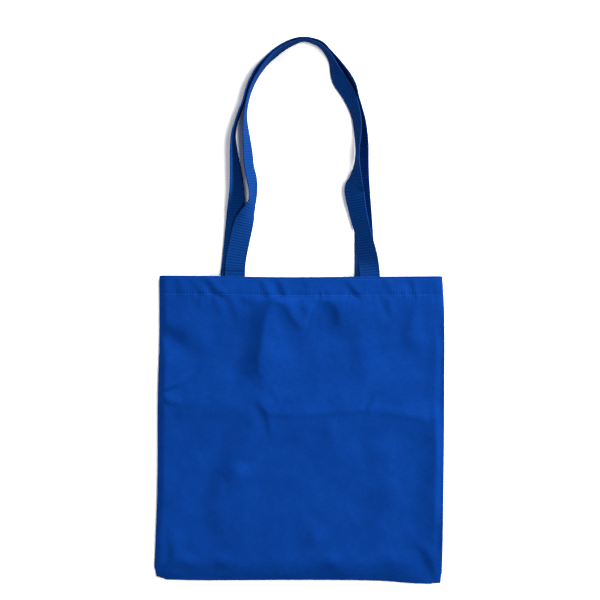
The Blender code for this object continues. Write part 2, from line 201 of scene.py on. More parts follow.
# Creases of the front panel. A path holds (x, y, strength) points. Beside it stand the step up
# towards the light, the width of that slope and how far the cloth around it follows, then the
# height of a ridge along the path and how far it reaches on the lit side and on the dark side.
frontCreases = (
    # the deep fold that runs down from the hem, left of the middle
    (((-0.035, 0.1600, 0.7), (-0.043, 0.1405, 0.9), (-0.0466, 0.122, 1.0), (-0.049, 0.103, 1.1),
      (-0.0515, 0.084, 1.0), (-0.047, 0.063, 0.5)), None, (0.0060, 0.026, 0.0120)),
    (((-0.058, 0.122, 0.3), (-0.066, 0.097, 1.0), (-0.066, 0.077, 0.8)), (0.0016, 0.011, 0.032), None),
    # short folds that fan out below the hem row
    (((-0.029, 0.1635, 0.6), (-0.016, 0.153, 0.9), (-0.0085, 0.139, 1.0), (0.001, 0.130, 0.6),
      (0.008, 0.128, 0.2)), None, (0.0034, 0.030, 0.0064)),
    (((0.029, 0.1640, 0.4), (0.042, 0.156, 0.9), (0.048, 0.141, 1.0), (0.047, 0.126, 0.3)),
     None, (0.0034, 0.024, 0.0070)),
    (((-0.110, 0.164, 1.0), (-0.105, 0.148, 0.5)), (0.0012, 0.0044, 0.011), None),
    (((-0.092, 0.163, 0.8), (-0.085, 0.144, 0.6)), (0.0012, 0.0044, 0.011), None),
    (((-0.132, 0.164, 0.8), (-0.129, 0.156, 0.5)), (0.0009, 0.0042, 0.009), None),
    (((-0.074, 0.162, 0.7), (-0.063, 0.157, 0.8)), (0.0010, 0.0040, 0.009), None),
    (((-0.001, 0.163, 0.6), (0.003, 0.149, 0.8)), (0.0013, 0.0055, 0.012), None),
    (((0.104, 0.164, 0.8), (0.109, 0.146, 0.7)), (0.0010, 0.0038, 0.010), None),
    (((0.140, 0.155, 0.5), (0.134, 0.138, 1.0), (0.129, 0.121, 0.6)), (0.0008, 0.0050, 0.014), None),
    # folds pinched in at the left seam
    (((-0.171, 0.126, 1.0), (-0.152, 0.115, 1.0), (-0.133, 0.099, 0.6), (-0.113, 0.091, 0.3),
      (-0.088, 0.088, 0.1)), (0.0028, 0.0095, 0.027), None),
    (((-0.175, 0.045, 1.0), (-0.154, 0.053, 0.8), (-0.139, 0.065, 0.3)), (0.0024, 0.0026, 0.009), None),
    (((-0.176, 0.039, 1.0), (-0.167, 0.033, 1.0), (-0.156, 0.030, 0.5)), (0.0015, 0.0032, 0.010), None),
    # the packing crease across the middle: a long low ridge, and its dark foot on the right
    (((-0.172, 0.033, 0.8), (-0.113, 0.032, 1.0), (-0.060, 0.033, 1.0), (-0.049, 0.025, 1.0),
      (-0.037, 0.018, 1.0), (0.021, 0.018, 1.0), (0.074, 0.022, 1.0), (0.111, 0.019, 1.0),
      (0.148, 0.014, 0.8), (0.160, 0.006, 0.4)), None, (0.0036, 0.030, 0.026)),
    (((-0.050, 0.026, 0.6), (-0.038, 0.017, 1.0), (0.021, 0.017, 1.0), (0.074, 0.021, 0.8),
      (0.111, 0.018, 1.0), (0.150, 0.012, 0.8)), (0.0006, 0.0034, 0.009), None),
    (((-0.053, 0.031, 0.7), (-0.044, 0.017, 1.0), (-0.040, -0.002, 0.8), (-0.037, -0.012, 0.2)),
     (0.0010, 0.0036, 0.011), None),
    (((0.089, 0.036, 0.8), (0.083, 0.026, 1.0)), (0.0010, 0.0028, 0.007), None),
    (((-0.036, 0.044, 0.5), (-0.031, 0.038, 0.7)), (0.0006, 0.0028, 0.006), None),
    # the long fold beside the right seam
    (((0.169, 0.012, 0.9), (0.171, -0.017, 1.1), (0.171, -0.060, 0.9), (0.170, -0.100, 1.0),
      (0.170, -0.128, 0.4)), None, (0.0050, 0.034, 0.0160)),
    (((0.170, 0.125, 0.3), (0.171, 0.106, 1.0), (0.170, 0.080, 0.9), (0.168, 0.055, 0.7),
      (0.169, 0.035, 0.3)), None, (0.0026, 0.016, 0.012)),
    # folds in the foot's corners
    (((0.147, -0.146, 0.4), (0.157, -0.156, 1.0), (0.169, -0.182, 0.8)), (0.0012, 0.0046, 0.013), None),
    (((-0.168, -0.116, 0.1), (-0.161, -0.142, 0.5), (-0.158, -0.163, 1.0), (-0.168, -0.182, 0.7)),
     (0.0018, 0.0056, 0.014), None),
    # the soft fold across the lower left
    (((-0.077, -0.010, 0.6), (-0.095, -0.0385, 1.0), (-0.108, -0.066, 1.0), (-0.112, -0.085, 1.0),
      (-0.107, -0.110, 0.8), (-0.097, -0.140, 0.4)), (0.0024, 0.0130, 0.034), None),
)

# Dents in the hem band
hemCreases = (
    (((-0.117, 0.185, 0.5), (-0.108, 0.172, 1.0), (-0.100, 0.1675, 1.0)), (0.0018, 0.0040, 0.009), None),
    (((-0.0495, 0.183, 0.5), (-0.044, 0.1675, 1.0)), (0.0016, 0.0042, 0.009), None),
    (((-0.029, 0.185, 0.6), (-0.023, 0.169, 1.0)), (0.0018, 0.0050, 0.010), None),
    (((0.060, 0.180, 0.5), (0.070, 0.1675, 1.1)), (0.0015, 0.0036, 0.008), None),
    (((0.1385, 0.183, 0.7), (0.1425, 0.166, 1.0)), (0.0010, 0.0038, 0.008), None),
    (((-0.136, 0.181, 0.6), (-0.126, 0.169, 1.0)), (0.0009, 0.0040, 0.008), None),
    (((0.104, 0.186, 0.6), (0.110, 0.171, 1.0)), (0.0006, 0.0036, 0.008), None),
    (((-0.155, 0.184, 0.8), (-0.152, 0.171, 0.8)), (0.0008, 0.0044, 0.009), None),
    (((0.004, 0.185, 0.8), (0.007, 0.171, 0.8)), (0.0005, 0.0040, 0.008), None),
)

# Soft swells of the front panel: centre x and y, height, and reach across and up
frontSwells = (
    (0.078, 0.095, 0.0022, 0.014, 0.030),
    (0.139, 0.118, 0.0015, 0.012, 0.020),
    (-0.175, 0.083, 0.0025, 0.022, 0.024),
    (-0.066, 0.018, 0.0010, 0.009, 0.009),
    (-0.079, -0.055, 0.0019, 0.013, 0.012),
    (0.021, -0.134, 0.0024, 0.015, 0.014),
    (0.101, -0.023, 0.0016, 0.017, 0.016),
    (0.113, -0.072, 0.0018, 0.018, 0.036),
    (0.040, -0.003, 0.0008, 0.008, 0.008),
    (0.059, -0.034, 0.0012, 0.020, 0.020),
    (-0.171, -0.065, 0.0015, 0.024, 0.032),
    (-0.138, -0.165, 0.0023, 0.012, 0.0080),
    (-0.094, -0.165, 0.0022, 0.012, 0.0080),
    (0.040, -0.166, 0.0021, 0.012, 0.0080),
    (0.117, -0.162, 0.0012, 0.014, 0.0085),
    (-0.117, 0.186, 0.0007, 0.005, 0.005),
    (-0.090, 0.180, 0.0005, 0.011, 0.012),
    (0.081, 0.176, 0.0008, 0.010, 0.010),
)

# Long soft waves and shorter ones on them: height, stretch up the cloth, cell and seed
frontUnevenness = (
    (0.00050, 0.8, 0.034, 5),
    (0.00022, 1.0, 0.013, 6),
    (0.00009, 1.0, 0.006, 7),
)

puckers = {
    "cell": 0.0040,
    "stretch": 0.25,
    "finerCell": 0.55,
    "finerShare": 0.6,
    "seeds": (11, 12),
    "height": 0.00030,
    "above": 0.0070,
    "below": 0.0100,
    "groove": 0.00026,
    "grooveWidth": 0.0013,
    "edgeGroove": 0.00022,
}

# How finely a crease's path is sampled, how round and steep its ridge is, and how far a step or a
# ridge runs on past the path's ends, in its own widths
creaseShape = {
    "station": 0.003,
    "rounding": 0.0015,
    "ridgePower": 1.4,
    "stepEnd": 1.6,
    "ridgeEnd": 1.1,
}

# The low light's direction, which also says which side of a crease is the lit one
lowLightTowards = (0.84, 0.54, 0.305)
lightPlan = np.array(lowLightTowards[:2]) / np.hypot(*lowLightTowards[:2])


def outlinePoint(u, v):
    # Cloth position to floor plan: a rectangle whose four edges bulge by smooth curves, with its
    # foot's corners pulled in
    a = 2 * u / bagBody["width"]
    b = 2 * v / bagBody["height"]
    left = -bagBody["width"] / 2 - curveValue(outline["left"], b)
    right = bagBody["width"] / 2 + curveValue(outline["right"], b)
    bottom = -bagBody["height"] / 2 - curveValue(outline["bottom"], a)
    top = bagBody["height"] / 2 + curveValue(outline["top"], a)
    x = blend(left, right, (a + 1) / 2)
    y = blend(bottom, top, (b + 1) / 2)
    nearSide = np.clip(1 - (bagBody["width"] / 2 - np.abs(u)) / outline["pullReach"], 0, 1)
    nearFoot = np.clip(1 - (v + bagBody["height"] / 2) / outline["pullReach"], 0, 1)
    pull = np.where(u < 0, outline["leftPull"], outline["rightPull"]) * nearSide * nearFoot
    return x - np.sign(u) * pull, y + pull


def creaseRelief(x, y, path, step, ridge):
    # With d the distance to the path, above zero on its lit side, the height is
    # step * tanh(d / width) * exp(-(d / follow)^2) plus ridge * exp(-(|d| / reach)^1.4),
    # times the strength along the path, and it fades beyond both ends
    line = smoothPath([(px, py, 0, strength) for px, py, strength in path], creaseShape["station"])
    spots = line[:, :2]
    run = np.vstack([spots[1:], spots[-1:]]) - np.vstack([spots[:1], spots[:-1]])
    run /= np.linalg.norm(run, axis=1)[:, None]
    normal = np.column_stack([-run[:, 1], run[:, 0]])
    if (normal @ lightPlan).mean() < 0:
        normal = -normal
    far = np.full(x.shape, 1e9)
    side = np.zeros(x.shape)
    strength = np.zeros(x.shape)
    for spot, out, force in zip(spots, normal, line[:, 3]):
        dx = x - spot[0]
        dy = y - spot[1]
        gap = np.hypot(dx, dy)
        nearer = gap < far
        far = np.where(nearer, gap, far)
        side = np.where(nearer, dx * out[0] + dy * out[1], side)
        strength = np.where(nearer, force, strength)
    beyond = np.sqrt(np.maximum(far**2 - side**2, 0))
    relief = 0
    if step:
        rise, width, follow = step
        slope = rise * np.tanh(side / width) * np.exp(-(side / follow) ** 2)
        relief = relief + slope * np.exp(-(beyond / (creaseShape["stepEnd"] * width)) ** 2)
    if ridge:
        height, litReach, darkReach = ridge
        rounding = creaseShape["rounding"]
        away = np.sqrt(side**2 + rounding**2) - rounding
        reach = np.where(side > 0, litReach, darkReach)
        crest = height * np.exp(-(away / reach) ** creaseShape["ridgePower"])
        relief = relief + crest * np.exp(-(beyond / (creaseShape["ridgeEnd"] * darkReach)) ** 2)
    return relief * strength


def edgeDistances(u, v):
    return bagBody["width"] / 2 - np.abs(u), v + bagBody["height"] / 2, bagBody["height"] / 2 - v


def seamLevel(u, foot):
    sideLevel = np.where(u < 0, bagBody["leftSeamLevel"], bagBody["rightSeamLevel"])
    return blend(footSeamLevel, sideLevel, smooth(foot / bagBody["cornerRise"]))


def bowed(share, bow):
    # Rises from 0 to 1 steeply first and level at its end: 1 - (1 - t)^bow
    return 1 - (1 - np.clip(share, 0, 1)) ** bow


def frontRelief(u, v):
    # All the creases and swells of the front panel, before its edges hold them down. The hem's
    # stitches part the creases of the body from those of the band.
    body = fade(bagBody["height"] / 2 - v, *reliefFade["body"])
    band = 1 - reliefFade["bandShare"] * body
    relief = sum(creaseRelief(u, v, *crease) for crease in frontCreases) * body
    relief = relief + sum(creaseRelief(u, v, *crease) for crease in hemCreases) * band
    for centreX, centreY, height, across, up in frontSwells:
        relief = relief + height * np.exp(-((u - centreX) / across) ** 2 - ((v - centreY) / up) ** 2)
    return relief


def frontWaves(u, v):
    waves = 0
    for height, stretch, cell, seed in frontUnevenness:
        waves = waves + height * softNoise(u, v * stretch, cell, seed)
    return waves


def hemRelief(u, v):
    # Puckers that fan out from the hem row, and a groove along each row of stitches
    head = bagBody["height"] / 2 - v
    fromHemRow = head - bagBody["hemRow"]
    fromEdgeRow = head - bagBody["edgeRow"]
    below = np.clip(fromHemRow, 0, None)
    above = np.clip(-fromHemRow, 0, None)
    near = np.exp(-(below / puckers["below"]) ** 2) * np.exp(-(above / puckers["above"]) ** 2)
    cell = puckers["cell"]
    place = v * puckers["stretch"]
    coarse = softNoise(u, place, cell, puckers["seeds"][0])
    finer = softNoise(u, place, cell * puckers["finerCell"], puckers["seeds"][1])
    bars = coarse + puckers["finerShare"] * finer
    grooves = puckers["groove"] * np.exp(-(fromHemRow / puckers["grooveWidth"]) ** 2)
    grooves = grooves + puckers["edgeGroove"] * np.exp(-(fromEdgeRow / puckers["grooveWidth"]) ** 2)
    return puckers["height"] * bars * near - grooves


def frontLevel(u, v):
    # Height of the middle of the front panel's outer layer: a flat middle that curves down to the
    # seams, raised at the mouth by the straps under it, with the relief on top
    side, foot, head = edgeDistances(u, v)
    mouth = smooth((frontEdges["mouthRise"] - head) / (frontEdges["mouthRise"] - bagBody["hemDepth"]))
    footShare = bowed(foot / frontEdges["footReach"], frontEdges["footBow"])
    sideShare = bowed(side / frontEdges["sideReach"], frontEdges["sideBow"])
    low = seamLevel(u, foot) + seamHalf
    middle = blend(bagBody["bodyLevel"], frontHemLevel, mouth)
    rise = middle - low
    drop = np.minimum(rise, np.where(u < 0, frontEdges["leftDrop"], frontEdges["rightDrop"]))
    gentle = smooth(side / frontEdges["mouthReach"])
    level = low + (drop * sideShare + (rise - drop) * gentle) * footShare
    sideWidth = np.where(u < 0, reliefFade["leftWidth"], reliefFade["rightWidth"])
    hold = fade(side, reliefFade["sideStart"], sideWidth)
    hold = hold * fade(foot, *reliefFade["foot"]) * fade(head, *reliefFade["head"])
    waves = frontWaves(u, v) * (1 - reliefFade["mouthWaves"] * mouth)
    stitched = hemRelief(u, v) * smooth(side / reliefFade["stitches"])
    return level + (frontRelief(u, v) + waves) * hold + stitched


def backLevel(u, v):
    # Height of the middle of the back panel's outer layer, flat on the floor away from the sides
    side, foot, head = edgeDistances(u, v)
    mouth = smooth((backEdges["mouthRise"] - head) / (backEdges["mouthRise"] - bagBody["hemDepth"]))
    middle = blend(bagBody["cloth"] / 2, backHemLevel, mouth)
    return blend(seamLevel(u, foot) - seamHalf, middle, smooth(side / backEdges["sideReach"]))


# Steps round each half turn of the cloth
turnSteps = {
    "seam": 5,
    "hem": 6,
    "tuck": 4,
}


def halfTurn(radius, steps):
    # Steps round a half turn of cloth: shift outwards and depth below the layer it starts on
    arc = pi * np.arange(1, steps + 1) / steps
    return np.column_stack([radius * np.sin(arc) - radius, radius * (1 - np.cos(arc))])


def gridLines(rows):
    # Lines as columns: position, shift, depth, and the length of cloth up to each one
    lines = np.array(rows, float)
    flat = np.column_stack([lines[:, 0] + lines[:, 1] * np.sign(lines[:, 0]), lines[:, 2]])
    length = np.concatenate([[0], np.cumsum(np.linalg.norm(np.diff(flat, axis=0), axis=1))])
    return np.column_stack([lines, length])


def seamLines(half, steps, finer):
    turned = halfTurn(seamRadius, steps)
    allowance = bagBody["seamAllowance"]
    lines = [(half - inset, 0, 2 * seamRadius) for inset in np.linspace(allowance, allowance / finer, finer)]
    lines += [(half, shift, depth) for shift, depth in turned[::-1]]
    lines.append((half, -seamRadius, 0))
    lines += [(half - inset, 0, 0) for inset in np.linspace(allowance / finer, allowance, finer)]
    lines.append((half - bagBody["trim"], 0, 0))
    return lines


def evenLines(low, high, cells):
    return [(blend(low, high, cell / cells), 0, 0) for cell in range(1, cells)]


def hemLines(half, bandCells, overSteps, tuckSteps):
    # Up the hem's outer layer, over the top edge, down its inner layer and up the tuck
    depth = bagBody["hemDepth"]
    insets = np.linspace(depth, bagBody["topInset"], bandCells)
    lines = [(half - inset, 0, 0) for inset in insets]
    lines.append((half, -hemDrop / 2, 0))
    lines += [(half, shift, fall) for shift, fall in halfTurn(hemDrop / 2, overSteps)]
    lines += [(half - inset, 0, hemDrop) for inset in insets[:0:-2]]
    lines.append((half - depth, seamRadius, hemDrop))
    lines += [(half - depth, -shift, hemDrop - rise) for shift, rise in halfTurn(seamRadius, tuckSteps)]
    tuckDepth = hemDrop - 2 * seamRadius
    lines += [(half - depth + bagBody["hemTuck"] * share, 0, tuckDepth) for share in (0.5, 1.0)]
    return lines


def meshFromQuads(name, points, quads, flat):
    # Keep only the points that faces use, and carry the cloth's flat coordinates as a UV map
    used, quads = np.unique(quads, return_inverse=True)
    quads = quads.reshape(-1, 4)
    points = points[used]
    mesh = bpy.data.meshes.new(name)
    mesh.vertices.add(len(points))
    mesh.vertices.foreach_set("co", points.astype(np.float32).ravel())
    mesh.loops.add(quads.size)
    mesh.loops.foreach_set("vertex_index", quads.astype(np.int32).ravel())
    mesh.polygons.add(len(quads))
    mesh.polygons.foreach_set("loop_start", np.arange(0, quads.size, 4, dtype=np.int32))
    mesh.update(calc_edges=True)
    mesh.validate()
    mesh.shade_smooth()
    layer = mesh.uv_layers.new(name="flatCloth")
    layer.data.foreach_set("uv", flat[used][quads.ravel()].astype(np.float32).ravel())
    piece = bpy.data.objects.new(name, mesh)
    bpy.context.scene.collection.objects.link(piece)
    return piece


def panelMesh(name, side, columns, bodyRows, bandCells, finer):
    # A grid of lines across and up, folded round its seams and hem, with its corners cut away
    halfWidth = bagBody["width"] / 2
    halfHeight = bagBody["height"] / 2
    trim = bagBody["trim"]
    right = seamLines(halfWidth, turnSteps["seam"], finer)
    left = [(-u, shift, depth) for u, shift, depth in right]
    across = gridLines(left + evenLines(trim - halfWidth, halfWidth - trim, columns) + right[::-1])
    foot = [(-v, shift, depth) for v, shift, depth in seamLines(halfHeight, turnSteps["seam"], finer)]
    hem = hemLines(halfHeight, bandCells, turnSteps["hem"], turnSteps["tuck"])
    up = gridLines(foot + evenLines(trim - halfHeight, halfHeight - bagBody["hemDepth"], bodyRows) + hem)

    col, row = np.meshgrid(np.arange(len(across)), np.arange(len(up)), indexing="ij")
    u = across[col, 0]
    v = up[row, 0]
    x, y = outlinePoint(u, v)
    x = x + across[col, 1] * np.sign(u)
    y = y + up[row, 1] * np.sign(v)
    level = frontLevel(u, v) if side > 0 else backLevel(u, v)
    z = level - side * np.maximum(across[col, 2], up[row, 2])
    points = np.column_stack([x.ravel(), y.ravel(), z.ravel()])
    hemTop = len(up) - len(hem) + bandCells
    topLine = hemTop + turnSteps["hem"] // 2
    flatX = across[col, 3] - across[-1, 3] / 2
    flatY = up[row, 3] - up[topLine, 3]
    flat = np.column_stack([flatX.ravel(), flatY.ravel()])

    cellCol, cellRow = np.meshgrid(np.arange(len(across) - 1), np.arange(len(up) - 1), indexing="ij")
    fromSide = np.minimum(cellCol, len(across) - 2 - cellCol)
    seamCells = finer + turnSteps["seam"]
    trimCells = seamCells + finer + 1
    spare = (fromSide < seamCells) & (cellRow < trimCells)
    spare |= (fromSide < trimCells) & (cellRow < seamCells)
    spare |= (fromSide < seamCells) & (cellRow >= hemTop)
    spare |= (fromSide < trimCells) & (cellRow > topLine)
    keep = ~spare
    first = (cellCol * len(up) + cellRow)[keep]
    quads = np.column_stack([first, first + len(up), first + len(up) + 1, first + 1])
    if side < 0:
        quads = quads[:, ::-1]
    piece = meshFromQuads(name, points, quads, flat)
    solid = piece.modifiers.new("clothThickness", "SOLIDIFY")
    solid.thickness = bagBody["cloth"]
    solid.offset = 0
    solid.use_even_offset = True
    print(name, len(quads), "quads before its thickness")
    return piece


frontPanel = panelMesh("frontPanel", 1, columns=220, bodyRows=138, bandCells=18, finer=5)
backPanel = panelMesh("backPanel", -1, columns=60, bodyRows=60, bandCells=10, finer=4)


# Webbing handles

frontRoute = (
    (-0.0816, 0.0200, 0.0065, 2),
    (-0.0779, 0.0395, 0.0058, 4),
    (-0.0737, 0.0585, 0.0052, 12),
    (-0.0706, 0.0697, 0.0042, 28),
    (-0.0673, 0.0780, 0.0030, 48),
    (-0.0630, 0.0872, 0.0020, 65),
    (-0.0606, 0.0950, 0.0010, 72),
    (-0.0601, 0.1075, 0.0005, 68),
    (-0.0620, 0.1222, 0.0003, 61),
    (-0.0650, 0.1371, 0.0003, 64),
    (-0.0663, 0.1530, 0.0003, 66),
    (-0.0680, 0.1700, 0.0003, 71),
    (-0.0697, 0.1890, 0.0003, 79),
    (-0.0694, 0.2040, 0.0003, 85),
    (-0.0669, 0.2192, 0.0003, 86),
    (-0.0624, 0.2342, 0.0003, 86),
    (-0.0550, 0.2491, 0.0003, 86),
    (-0.0447, 0.2642, 0.0003, 85),
    (-0.0335, 0.2755, 0.0003, 82),
    (-0.0190, 0.2858, 0.0003, 85),
    (-0.0016, 0.2930, 0.0004, 92),
    (0.0060, 0.2938, 0.0005, 94),
    (0.0135, 0.2917, 0.0004, 92),
    (0.0231, 0.2872, 0.0005, 89),
    (0.0320, 0.2779, 0.0008, 83),
    (0.0384, 0.2666, 0.0012, 76),
    (0.0425, 0.2556, 0.0016, 62),
    (0.0478, 0.2440, 0.0020, 49),
    (0.0540, 0.2343, 0.0020, 50),
    (0.0597, 0.2245, 0.0022, 54),
    (0.0650, 0.2118, 0.0030, 61),
    (0.0686, 0.1985, 0.0040, 67),
    (0.0702, 0.1845, 0.0060, 71),
    (0.0703, 0.1690, 0.0080, 78),
    (0.0696, 0.1540, 0.0100, 84),
    (0.0688, 0.1390, 0.0115, 78),
    (0.0680, 0.1262, 0.0125, 62),
    (0.0671, 0.1160, 0.0130, 44),
    (0.0661, 0.1058, 0.0130, 15),
    (0.0673, 0.0955, 0.0116, 22),
    (0.0693, 0.0848, 0.0095, 30),
    (0.0731, 0.0680, 0.0072, 36),
    (0.0777, 0.0505, 0.0060, 38),
    (0.0814, 0.0330, 0.0058, 26),
    (0.0838, 0.0185, 0.0065, 10),
)
backRoute = (
    (-0.0861, 0.0235, 0.0026, 3),
    (-0.0839, 0.0450, 0.0015, 8),
    (-0.0820, 0.0664, 0.0008, 16),
    (-0.0811, 0.0850, 0.0005, 30),
    (-0.0803, 0.0998, 0.0004, 40),
    (-0.0805, 0.1154, 0.0003, 50),
    (-0.0821, 0.1362, 0.0003, 61),
    (-0.0841, 0.1582, 0.0003, 73),
    (-0.0845, 0.1750, 0.0003, 81),
    (-0.0814, 0.1900, 0.0003, 86),
    (-0.0765, 0.2048, 0.0003, 87),
    (-0.0723, 0.2156, 0.0003, 88),
    (-0.0674, 0.2332, 0.0003, 88),
    (-0.0609, 0.2483, 0.0003, 88),
    (-0.0527, 0.2611, 0.0003, 88),
    (-0.0433, 0.2716, 0.0003, 88),
    (-0.0338, 0.2804, 0.0003, 89),
    (-0.0220, 0.2883, 0.0003, 90),
    (-0.0108, 0.2936, 0.0003, 92),
    (0.0007, 0.2962, 0.0004, 94),
    (0.0130, 0.2951, 0.0004, 94),
    (0.0260, 0.2892, 0.0003, 88),
    (0.0344, 0.2796, 0.0003, 84),
    (0.0422, 0.2700, 0.0003, 80),
    (0.0507, 0.2588, 0.0003, 76),
    (0.0594, 0.2469, 0.0003, 76),
    (0.0652, 0.2354, 0.0003, 76),
    (0.0684, 0.2230, 0.0003, 78),
    (0.0728, 0.2085, 0.0003, 79),
    (0.0762, 0.1936, 0.0003, 76),
    (0.0777, 0.1763, 0.0003, 70),
    (0.0778, 0.1600, 0.0003, 64),
    (0.0768, 0.1420, 0.0003, 58),
    (0.0764, 0.1222, 0.0003, 52),
    (0.0768, 0.1000, 0.0003, 45),
    (0.0773, 0.0800, 0.0004, 36),
    (0.0780, 0.0551, 0.0009, 25),
    (0.0788, 0.0370, 0.0015, 15),
    (0.0794, 0.0200, 0.0026, 6),
)
frontFeet = (-0.0828, 0.0857)
backFeet = (-0.0882, 0.0797)


def strapStations(feet, level, route):
    # The route with its two ends running flat into the mouth: x, y, z, lean
    mouth = bagBody["height"] / 2
    out = []
    for x, above, clearance, roll in route:
        lean = radians(roll)
        height = clearance + webbing["thickness"] / 2 * np.cos(lean) + webbing["width"] / 2 * np.sin(lean)
        out.append((x, mouth + above, height, lean))
    over = mouth + webbing["thickness"]
    inside = mouth - webbing["tuck"]
    return [(feet[0], inside, level, 0), (feet[0], over, level, 0)] + out + \
        [(feet[1], over, level, 0), (feet[1], inside, level, 0)]


def strapMesh(name, feet, level, route):
    # A flat profile with rounded selvedges carried along the route. Its two faces sink between
    # the ribs by depth * (1 - cos(2 pi s / pitch)) / 2.
    line = smoothPath(strapStations(feet, level, route), webbing["station"])
    spots = line[:, :3]
    run = np.gradient(spots, axis=0)
    travel = np.concatenate([[0], np.cumsum(np.linalg.norm(np.diff(spots, axis=0), axis=1))])
    run /= np.linalg.norm(run, axis=1)[:, None]
    plan = run.copy()
    plan[:, 2] = 0
    plan /= np.linalg.norm(plan, axis=1)[:, None]
    outward = np.column_stack([-plan[:, 1], plan[:, 0], np.zeros(len(plan))])
    lean = line[:, 3][:, None]
    across = outward * np.cos(lean) + np.array([0, 0, 1]) * np.sin(lean)
    across -= run * (across * run).sum(axis=1)[:, None]
    across /= np.linalg.norm(across, axis=1)[:, None]
    face = np.cross(across, run)

    half = webbing["width"] / 2
    thick = webbing["thickness"] / 2
    core = half - thick
    flank = np.linspace(core, -core, webbing["across"])
    arc = np.linspace(pi / 2, -pi / 2, webbing["roundSteps"])[1:-1]
    profileX = np.concatenate([-flank, core + thick * np.cos(arc), flank, -core - thick * np.cos(arc)])
    faceZ = np.full(len(flank), thick)
    profileZ = np.concatenate([faceZ, thick * np.sin(arc), -faceZ, -thick * np.sin(arc)])
    ribbed = smooth((half - webbing["selvedge"] - np.abs(profileX)) / webbing["ribEdge"] + 0.5)
    raised = webbing["selvedgeRise"] * (1 - ribbed) * (np.abs(profileZ) > thick * webbing["faceShare"])
    wave = 0.5 - 0.5 * np.cos(2 * pi * travel / webbing["ribPitch"])
    unevenness = softNoise(travel, travel * 0, webbing["wanderCell"], webbing["wanderSeed"])
    wander = 1 + webbing["wander"] * unevenness
    sink = webbing["ribDepth"] * (wave * wander)[:, None] * ribbed[None, :]
    depth = profileZ[None, :] - np.sign(profileZ)[None, :] * (sink - raised[None, :])
    points = spots[:, None, :] + across[:, None, :] * profileX[None, :, None]
    points = points + face[:, None, :] * depth[:, :, None]

    count = len(profileX)
    stations = len(spots)
    ring, station = np.meshgrid(np.arange(count), np.arange(stations - 1), indexing="ij")
    first = station * count + ring
    second = station * count + (ring + 1) % count
    corners = (first, second, second + count, first + count)
    quads = np.column_stack([corner.ravel() for corner in corners])
    rib = len(flank)
    lower = np.arange(rib - 1)
    upper = 2 * rib + len(arc) - 1 - lower
    cap = np.column_stack([lower, upper, upper - 1, lower + 1])
    startCap = cap[:, ::-1]
    endCap = cap + (stations - 1) * count
    flat = np.column_stack([np.repeat(profileX[None, :], stations, axis=0).ravel(), np.repeat(travel, count)])
    piece = meshFromQuads(name, points.reshape(-1, 3), np.vstack([quads, startCap, endCap]), flat)
    print(name, round(travel[-1], 3), "m of webbing")
    return piece


frontHandle = strapMesh("frontHandle", frontFeet, frontStrapLevel, frontRoute)
backHandle = strapMesh("backHandle", backFeet, backStrapLevel, backRoute)


# Stitching

stitching = {
    "pitch": 0.0034,
    "length": 0.0027,
    "radius": 0.00030,
    "rings": 7,
    "sides": 6,
    "margin": 0.0030,
    "lengthWander": 0.06,
    "offLine": 0.00012,
    "tip": 0.08,
    "swellPower": 0.5,
    "arch": 1.15,
    "sunk": 0.55,
}


def stitchRow(name, side, inset, seed):
    # Each stitch is a short thread that arches out of the cloth and back: its radius and height
    # follow the square root of sin(pi t) along its length
    half = bagBody["width"] / 2 - stitching["margin"]
    count = int(2 * half / stitching["pitch"])
    centres = (np.arange(count) + 0.5) * stitching["pitch"] - count * stitching["pitch"] / 2
    wobble = np.random.default_rng(seed).uniform(-1, 1, (count, 2))
    t = np.linspace(0, 1, stitching["rings"])
    turn = 2 * pi * np.arange(stitching["sides"]) / stitching["sides"]
    stretch = 1 + stitching["lengthWander"] * wobble[:, :1]
    u = centres[:, None] + (t[None, :] - 0.5) * stitching["length"] * stretch
    v = bagBody["height"] / 2 - inset + stitching["offLine"] * wobble[:, 1:] + 0 * u
    level = frontLevel(u, v) if side > 0 else backLevel(u, v)
    x, y = outlinePoint(u, v)
    tip = stitching["tip"]
    swell = np.sin(pi * (tip + (1 - 2 * tip) * t)) ** stitching["swellPower"]
    lift = bagBody["cloth"] / 2 + stitching["radius"] * (stitching["arch"] * swell - stitching["sunk"])
    radius = stitching["radius"] * swell
    px = x[:, :, None] + 0 * turn
    py = y[:, :, None] + radius[None, :, None] * np.cos(turn)
    pz = (level + side * lift)[:, :, None] + radius[None, :, None] * np.sin(turn)
    points = np.stack([px, py, pz], axis=-1).reshape(-1, 3)

    rings, sides = stitching["rings"], stitching["sides"]
    stitch, ring, edge = np.meshgrid(np.arange(count), np.arange(rings - 1), np.arange(sides), indexing="ij")
    base = stitch * rings * sides + ring * sides
    first = base + edge
    second = base + (edge + 1) % sides
    quads = np.column_stack([first.ravel(), first.ravel() + sides, second.ravel() + sides, second.ravel()])
    start = np.arange(count) * rings * sides
    startCaps = np.vstack([np.column_stack([start, start + 1, start + 2, start + 3]),
                           np.column_stack([start, start + 3, start + 4, start + 5])])
    end = start + (rings - 1) * sides
    endCaps = np.vstack([np.column_stack([end + 3, end + 2, end + 1, end]),
                         np.column_stack([end + 5, end + 4, end + 3, end])])
    flat = np.column_stack([px.ravel(), py.ravel()])
    piece = meshFromQuads(name, points, np.vstack([quads, startCaps, endCaps]), flat)
    print(name, count, "stitches")
    return piece


frontHemStitches = stitchRow("frontHemStitches", 1, bagBody["hemRow"], 31)
frontEdgeStitches = stitchRow("frontEdgeStitches", 1, bagBody["edgeRow"], 32)
backHemStitches = stitchRow("backHemStitches", -1, bagBody["hemRow"], 33)
backEdgeStitches = stitchRow("backEdgeStitches", -1, bagBody["edgeRow"], 34)


# Materials

